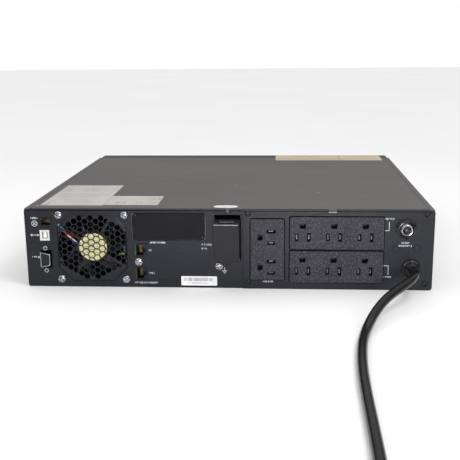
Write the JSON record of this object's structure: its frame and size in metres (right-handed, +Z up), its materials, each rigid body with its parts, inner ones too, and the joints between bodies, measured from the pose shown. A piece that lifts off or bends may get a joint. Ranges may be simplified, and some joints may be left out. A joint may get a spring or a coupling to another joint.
{
  "type": "rackmount ups",
  "caption": "Two-unit-high rackmount UPS: steel case, rear fan grille, outlet blocks, data ports, hinged connector cover, slide-out battery drawer and coiled mains cord.",
  "frame": {"origin": "under the middle of the unit without its cord, on the surface it stands on", "axes": "+X to the right when looking at the rear panel, +Y from the rear panel to the front bezel, +Z up"},
  "size_m": [0.438, 0.9494, 0.087],
  "materials": {
    "black_paint": "fine textured black powder coat",
    "case_paint": "matt dark grey powder coat",
    "zinc_steel": "zinc plated sheet",
    "core_steel": "varnished laminations",
    "heat_sink": "extruded aluminium",
    "chrome": "bright nickel plate",
    "black_screw": "black oxide",
    "outlet_plastic": "textured black moulding",
    "jack_plastic": "smooth black moulding",
    "fan_plastic": "black moulding",
    "bezel_plastic": "fine textured black moulding",
    "gloss_black": "glossy black",
    "window_plastic": "smoked display window",
    "circuit_board": "green solder mask",
    "battery_case": "grey moulding",
    "winding_tape": "amber insulating tape",
    "cord_jacket": "smooth black jacket"
  },
  "bodies": {
    "case": {"rear_panel": "black_paint", "receptacle_panel": "black_paint", "accessory_cover": "black_paint", "accessory_cage": "zinc_steel", "chassis_base": "case_paint", "top_cover": "case_paint", "bay_divider": "zinc_steel", "outlet_block_1": "outlet_plastic", "outlet_block_2": "outlet_plastic", "outlet_block_3": "outlet_plastic", "breaker_body": "chrome", "breaker_nut": "gloss_black", "cord_gland": "gloss_black", "fan_frame": "fan_plastic", "fan_screw_1": "chrome", "fan_screw_2": "chrome", "fan_screw_3": "chrome", "fan_screw_4": "chrome", "port_screw": "chrome", "ground_screw": "chrome", "serial_screw_1": "chrome", "serial_screw_2": "chrome", "receptacle_screw_1": "black_screw", "receptacle_screw_2": "black_screw", "receptacle_screw_3": "black_screw", "receptacle_screw_4": "black_screw", "accessory_screw_1": "black_screw", "accessory_screw_2": "black_screw", "remote_port": "jack_plastic", "usb_port": "chrome", "surge_jack_in": "jack_plastic", "surge_jack_out": "jack_plastic", "serial_shell": "chrome", "serial_insert": "jack_plastic", "battery_connector": "outlet_plastic", "cover_hinge_pin": "zinc_steel", "front_bezel": "bezel_plastic", "display_window": "window_plastic", "display_board": "circuit_board", "main_board": "circuit_board", "heat_sink": "heat_sink", "capacitor_1": "gloss_black", "capacitor_2": "gloss_black", "transformer_core": "core_steel", "transformer_winding": "winding_tape", "power_cord": "cord_jacket", "cord_coil": "cord_jacket", "cord_tail": "cord_jacket", "cord_plug": "cord_jacket"},
    "fan_rotor": {"fan_rotor": "fan_plastic"},
    "breaker_button": {"breaker_button": "gloss_black"},
    "connector_cover": {"connector_cover": "outlet_plastic"},
    "power_button": {"power_button": "gloss_black"},
    "test_button": {"test_button": "gloss_black"},
    "battery_drawer": {"battery_tray": "zinc_steel", "tray_front": "bezel_plastic", "battery_1": "battery_case", "battery_2": "battery_case", "battery_3": "battery_case", "battery_4": "battery_case"}
  },
  "joints": [
    {"name": "fan_spin", "type": "hinge", "parent": "case", "child": "fan_rotor", "pos_m": [-0.1455, -0.1735, 0.0447], "axis": [0, 1, 0], "continuous": true},
    {"name": "breaker_trip", "type": "slide", "parent": "case", "child": "breaker_button", "axis": [0, -1, 0], "range_m": [0, 0.004]},
    {"name": "cover_swing", "type": "hinge", "parent": "case", "child": "connector_cover", "pos_m": [0.001, -0.1923, 0.0329], "axis": [1, 0, 0], "range_deg": [0, 70], "stiffness_Nm_per_rad": 0.01, "springref_deg": -28.65},
    {"name": "power_press", "type": "slide", "parent": "case", "child": "power_button", "axis": [0, -1, 0], "range_m": [0, 0.001], "stiffness_N_per_m": 400, "springref_m": -0.001},
    {"name": "test_press", "type": "slide", "parent": "case", "child": "test_button", "axis": [0, -1, 0], "range_m": [0, 0.001], "stiffness_N_per_m": 400, "springref_m": -0.001},
    {"name": "drawer_slide", "type": "slide", "parent": "case", "child": "battery_drawer", "axis": [0, 1, 0], "range_m": [0, 0.3]}
  ]
}
